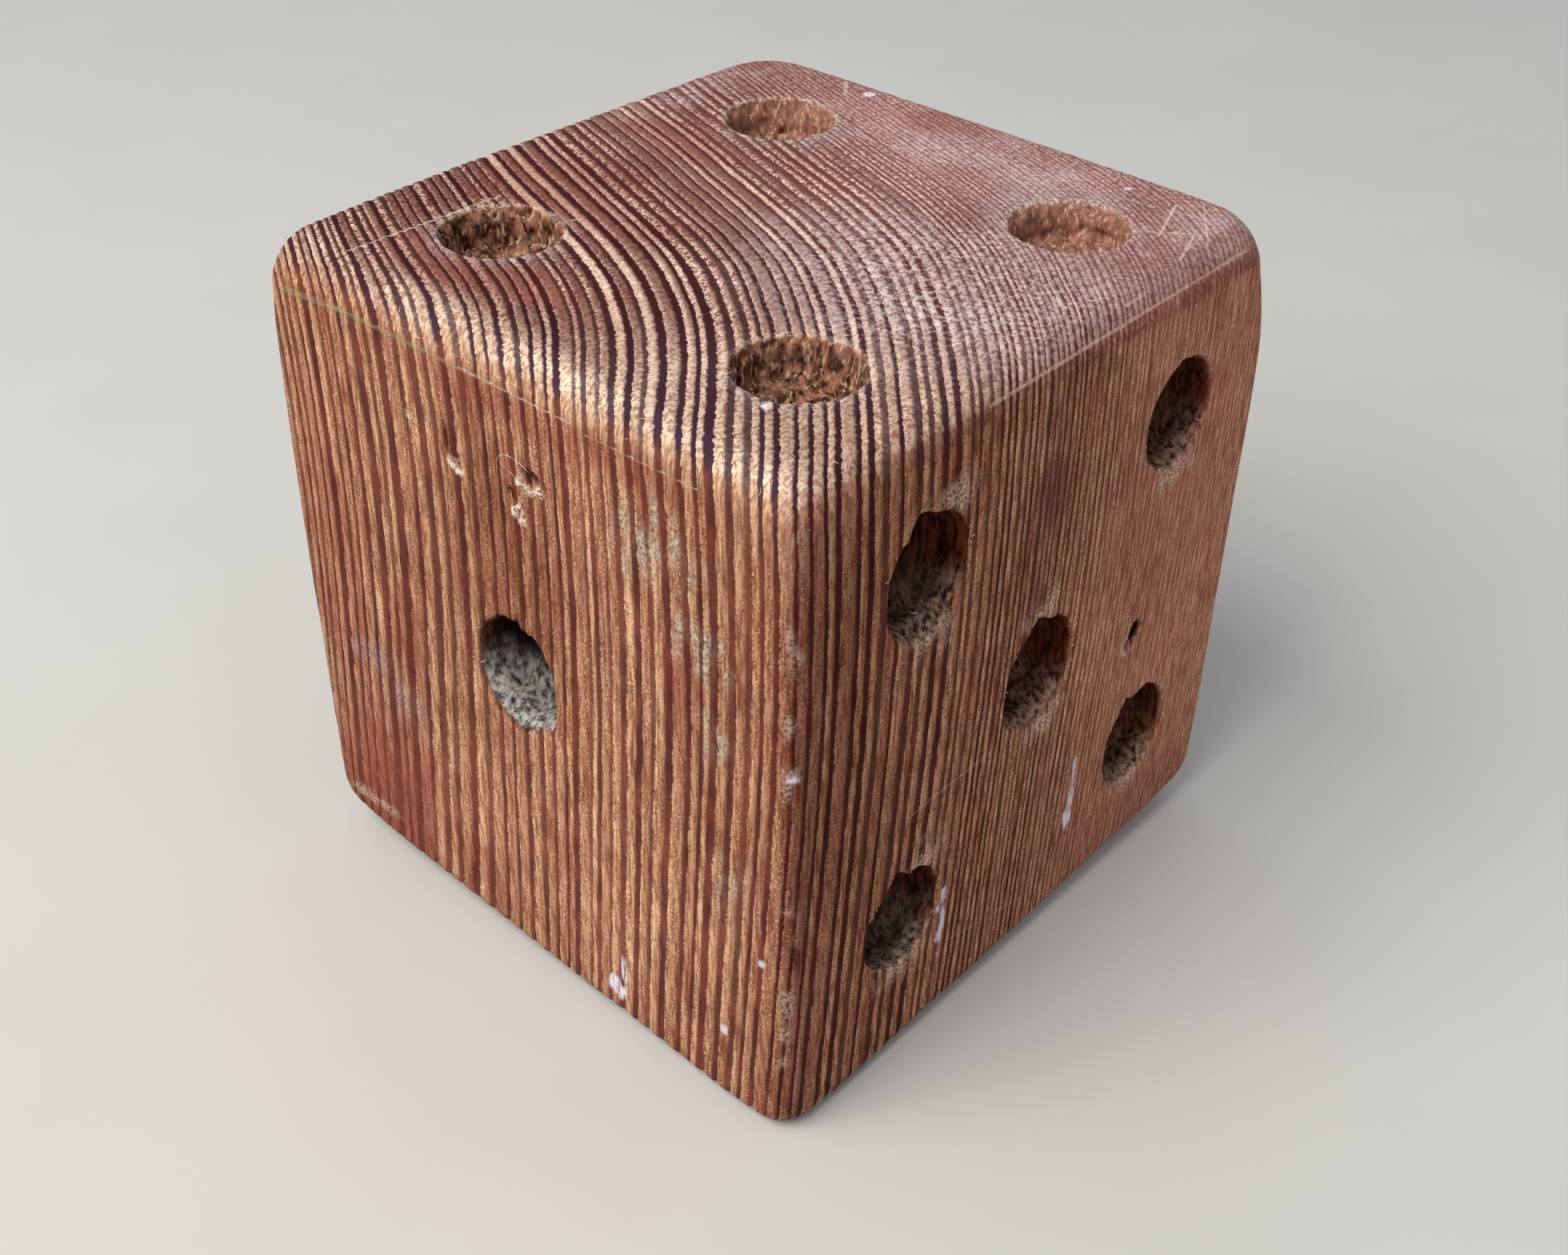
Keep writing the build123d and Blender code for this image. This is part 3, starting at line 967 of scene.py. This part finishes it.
    # Stains, shade and scuffs
    stained = g.mix(late, g.mix(fibre, srgb(108, 44, 36), srgb(184, 108, 90)), srgb(84, 30, 26))
    colour = g.mix(g.math("MULTIPLY", stain, 0.75), colour, stained)
    plum = g.mix(fibre, srgb(60, 18, 26), srgb(124, 64, 70))
    colour = g.mix(g.math("MULTIPLY", purple, 0.75), colour, plum)
    tone = g.mix(g.fade(broad, 0.3, 0.7), (0.88, 0.82, 0.8, 1), (1.05, 1.04, 1.03, 1))
    colour = g.mix(1.0, colour, tone, "MULTIPLY")
    tone = g.math("MULTIPLY_ADD", g.attribute("shade"), 0.5, 0.5)
    tone = g.mix(tone, (0.76, 0.67, 0.65, 1), (1.26, 1.35, 1.37, 1))
    colour = g.mix(1.0, colour, tone, "MULTIPLY")
    dim = g.mix(1.0, colour, (0.68, 0.55, 0.52, 1), "MULTIPLY")
    colour = g.mix(g.math("MULTIPLY", shaded, 0.6), colour, dim)
    scuffed = g.mix(g.fade(grit, 0.3, 0.7), srgb(124, 112, 96), srgb(206, 200, 176))
    greyer = g.mix(g.fade(grit, 0.3, 0.7), srgb(118, 98, 96), srgb(178, 162, 158))
    scuffed = g.mix(g.attribute("cool"), scuffed, greyer)
    scuffed = g.mix(end, scuffed, g.mix(g.fade(grit, 0.3, 0.7), srgb(116, 102, 108), srgb(212, 204, 206)))
    bare = g.math("SUBTRACT", 1.0, g.math("MULTIPLY", late, 0.85))
    patchy = g.math("MULTIPLY", g.math("MULTIPLY", grey, bare), g.fade(flock, 0.3, 0.55), clamp=True)
    colour = g.mix(g.math("MULTIPLY", patchy, 0.75), colour, scuffed)
    wisps = g.mix(g.fade(grit, 0.36, 0.6), srgb(140, 92, 70), srgb(240, 220, 200))
    colour = g.mix(g.math("MULTIPLY", pale, 0.8), colour, wisps)

    # Scratches
    for a, b, width, strength, tint in SCRATCHES:
        gaps = g.fade(speck, 0.3, 0.6, 0.35 * strength, strength)
        broken = g.math("MULTIPLY", scratch(g, a, b, width), gaps)
        colour = g.mix(broken, colour, srgb(*tint))

    # Inside the pips
    wall_grain = g.fade(g.noise((0.6, 0.6, 4.0), 2, 0.6), 0.36, 0.66)
    along_grain = g.mix(wall_grain, srgb(52, 19, 11), srgb(120, 60, 34))
    ripped = g.noise((0.9, 0.9, 2.2), 2, 0.65, 1.0)
    across_grain = g.mix(g.fade(ripped, 0.4, 0.66), srgb(56, 26, 20), srgb(168, 114, 86))
    rosy = g.fade(g.noise(2.4, 2, 0.6, 8.0), 0.5, 0.66, 0.0, 0.45)
    rosy = g.math("MULTIPLY_ADD", g.attribute("faded"), 0.4, rosy)
    across_grain = g.mix(rosy, across_grain, srgb(196, 140, 122))
    flakes = g.fade(g.noise((0.5, 0.5, 1.3), 1, 0.5, 9.0), 0.56, 0.7, 0.0, 0.8)
    across_grain = g.mix(flakes, across_grain, srgb(226, 196, 160))
    torn = g.mix(g.attribute("endwise"), along_grain, across_grain)
    lint = g.noise((0.8, 0.8, 1.5), 3, 0.6, 4.0)
    tan = g.mix(g.fade(lint, 0.35, 0.67), srgb(38, 20, 16), srgb(190, 150, 120))
    frost = g.mix(g.fade(lint, 0.32, 0.68), srgb(54, 52, 58), srgb(206, 198, 188))
    torn = g.mix(fuzz, torn, g.mix(g.attribute("cool"), tan, frost))
    # Painted shade: the deeper parts of the pips, the nail hole and the gouges are multiplied darker, far
    # more in the side pips than in the end-grain ones
    painted_pit_shade = g.mix(g.attribute("cool"), (0.12, 0.075, 0.06, 1), (0.03, 0.028, 0.034, 1))
    shadow = g.mix(g.attribute("endwise"), painted_pit_shade, (0.7, 0.68, 0.67, 1))
    torn = g.mix(g.attribute("depth"), torn, g.mix(1.0, torn, shadow, "MULTIPLY"))
    colour = g.mix(pip, colour, torn)
    paint = g.math("MULTIPLY", paint, g.fade(fibre, 0.36, 0.5, 0.25, 1.0))
    colour = g.mix(paint, colour, srgb(236, 226, 240))
    g.put(g.shader.inputs["Base Color"], colour)
    g.put(g.shader.inputs["Roughness"], g.fade(late, 0, 1, 0.75, 0.6))
    g.shader.inputs["Specular IOR Level"].default_value = 0.04
    grain = g.math("MULTIPLY_ADD", fibre, 0.6, g.math("MULTIPLY", grit, 0.6))
    bump = g.node("ShaderNodeBump", {"Strength": 0.55, "Distance": 0.00022, "Height": grain})
    g.put(g.shader.inputs["Normal"], bump.outputs[0])
    return g.material


# Scratches and rubs: both ends in millimetres, half width, strength and colour. T, L and F
# are just under the surfaces of the top, the -X face and the -Y face.
PALE, GREENISH, ROSY = (236, 222, 206), (150, 152, 118), (226, 190, 182)
T, L, F = HEIGHT - 0.2, -HALF_X + 0.2, -HALF_Y + 0.2
SCRATCHES = [
    ((-40, 30.6, T), (-17.4, 30, T), 0.2, 0.7, PALE),
    ((L, 38.5, 85.4), (L, 26, 86.6), 0.6, 0.45, GREENISH),
    ((L, 28, 86.5), (L, 0, 87.1), 0.4, 0.45, GREENISH),
    ((L, 6, 87.0), (L, -12, 87.2), 0.2, 0.4, PALE),
    ((L, -14, 86.7), (L, -30, 87.1), 0.2, 0.35, PALE),
    ((L, 20, 88.2), (L, -6, 88.3), 0.18, 0.3, PALE),
    ((-38, F, 89.2), (-29, F, 89.5), 0.3, 0.5, ROSY),
    ((-14, -HALF_Y + 0.6, 89.0), (36, -HALF_Y + 1.0, 89.4), 0.3, 0.55, ROSY),
    ((12, -HALF_Y + 2, 90.4), (40, -HALF_Y + 3.4, 90.2), 0.3, 0.45, ROSY),
    ((-24, F, 39), (-8, F, 39.6), 0.2, 0.25, ROSY),
    ((-14, F, 12), (2, F, 8), 0.2, 0.25, ROSY),
    ((29, -34.5, T), (38, -31, T), 0.28, 0.6, PALE),
    ((25, -40, T), (32, -37.5, T), 0.25, 0.5, PALE),
    ((31, -40, T), (41, -33, T), 0.2, 0.5, PALE),
    ((31, -15.5, T), (41, -14.5, T), 0.2, 0.35, PALE),
    ((27, -30, T), (33, -38, T), 0.2, 0.45, PALE),
    ((35, -24, T), (37, -37, T), 0.18, 0.4, PALE),
    ((37.5, 22, T), (41, 25, T), 0.5, 0.4, PALE),
    ((27.5, 13, T), (28.5, -3, T), 0.2, 0.4, PALE),
    ((2, -25, T), (-16, -22, T), 0.2, 0.35, PALE),
    ((L + 0.1, -43.0, 62), (L + 0.1, -43.0, 40), 0.3, 0.35, PALE),
    ((-40.4, 38, T - 0.2), (-40.4, 8, T - 0.2), 0.22, 0.4, PALE),
]


def plain(name, amount, dark, light, roughness):
    """A material that varies from dark to light as amount, a function of the graph, says."""
    g = Graph(name)
    g.put(g.shader.inputs["Base Color"], g.mix(amount(g), dark, light))
    g.shader.inputs["Roughness"].default_value = roughness
    return g.material


def strands(g):
    """Fine changes along loose fibres."""
    return g.fade(g.noise(1.5), 0.35, 0.65)


def clouds(g):
    """Broad, faint changes for the floor."""
    return g.noise(40.0, 3)


mesh.materials.append(wood())
thread_mesh.materials.append(plain("loose_fibre", strands, srgb(190, 150, 122), srgb(246, 236, 222), 0.6))

# Floor, in metres
FLOOR_REACH = 6.0
floor_corners = [(i * FLOOR_REACH, j * FLOOR_REACH, 0) for i, j in ((-1, -1), (1, -1), (1, 1), (-1, 1))]
floor_mesh = bpy.data.meshes.new("floor")
floor_mesh.from_pydata(floor_corners, [], [(0, 1, 2, 3)])
floor = add("floor", floor_mesh)
floor_mesh.materials.append(plain("pale_floor", clouds, srgb(205, 203, 198), srgb(212, 210, 205), 0.85))
floor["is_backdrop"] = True

# Light: an even sky and one large soft lamp high on the -X side
world = bpy.data.worlds.new("sky")
bpy.context.scene.world = world
world.use_nodes = True
world.node_tree.nodes["Background"].inputs["Color"].default_value = (0.9, 0.95, 1.0, 1)
world.node_tree.nodes["Background"].inputs["Strength"].default_value = 0.5

# The lamp: its place from the middle of the block and its width in metres, and its power
CENTRE = Vector((0, 0, HALF_Z * MM))
LAMP_PLACE = Vector((-0.6, 0.1, 0.75))
LAMP_WIDTH = 0.7
LAMP_POWER = 9.0
sky_light = bpy.data.lights.new("sky_lamp", "AREA")
sky_light.size = LAMP_WIDTH
sky_light.energy = LAMP_POWER
sky_light.color = (1.0, 0.97, 0.93)
sky_lamp = add("sky_lamp", sky_light)
sky_lamp.location = CENTRE + LAMP_PLACE
sky_lamp.rotation_mode = "QUATERNION"
sky_lamp.rotation_quaternion = (CENTRE - sky_lamp.location).to_track_quat("-Z", "Y")
sky_lamp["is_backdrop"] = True

# Camera: where it looks, how far off it stands, its turn about the block, its tilt and roll,
# and its focal length for a sensor 36 mm wide
CAMERA_AIM = Vector((1.01, -1.13, 31.81)) * MM
CAMERA_DISTANCE = 262.48 * MM
CAMERA_TURN = math.radians(-48.126)
CAMERA_TILT = math.radians(36.144)
CAMERA_ROLL = math.radians(0.97)
CAMERA_LENS = 43.96
back = Vector(
    (
        math.sin(CAMERA_TURN) * math.cos(CAMERA_TILT),
        -math.cos(CAMERA_TURN) * math.cos(CAMERA_TILT),
        math.sin(CAMERA_TILT),
    )
)
camera_data = bpy.data.cameras.new("camera")
camera_data.sensor_width = 36.0
camera_data.lens = CAMERA_LENS
camera_data.clip_start = 0.01
camera_data.clip_end = 50.0
camera = add("camera", camera_data)
camera.location = CAMERA_AIM + back * CAMERA_DISTANCE
camera.rotation_mode = "QUATERNION"
roll = Matrix.Rotation(CAMERA_ROLL, 3, "Z").to_quaternion()
camera.rotation_quaternion = (-back).to_track_quat("-Z", "Y") @ roll
bpy.context.scene.camera = camera
bpy.context.scene.view_settings.view_transform = "Standard"

lo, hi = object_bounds()
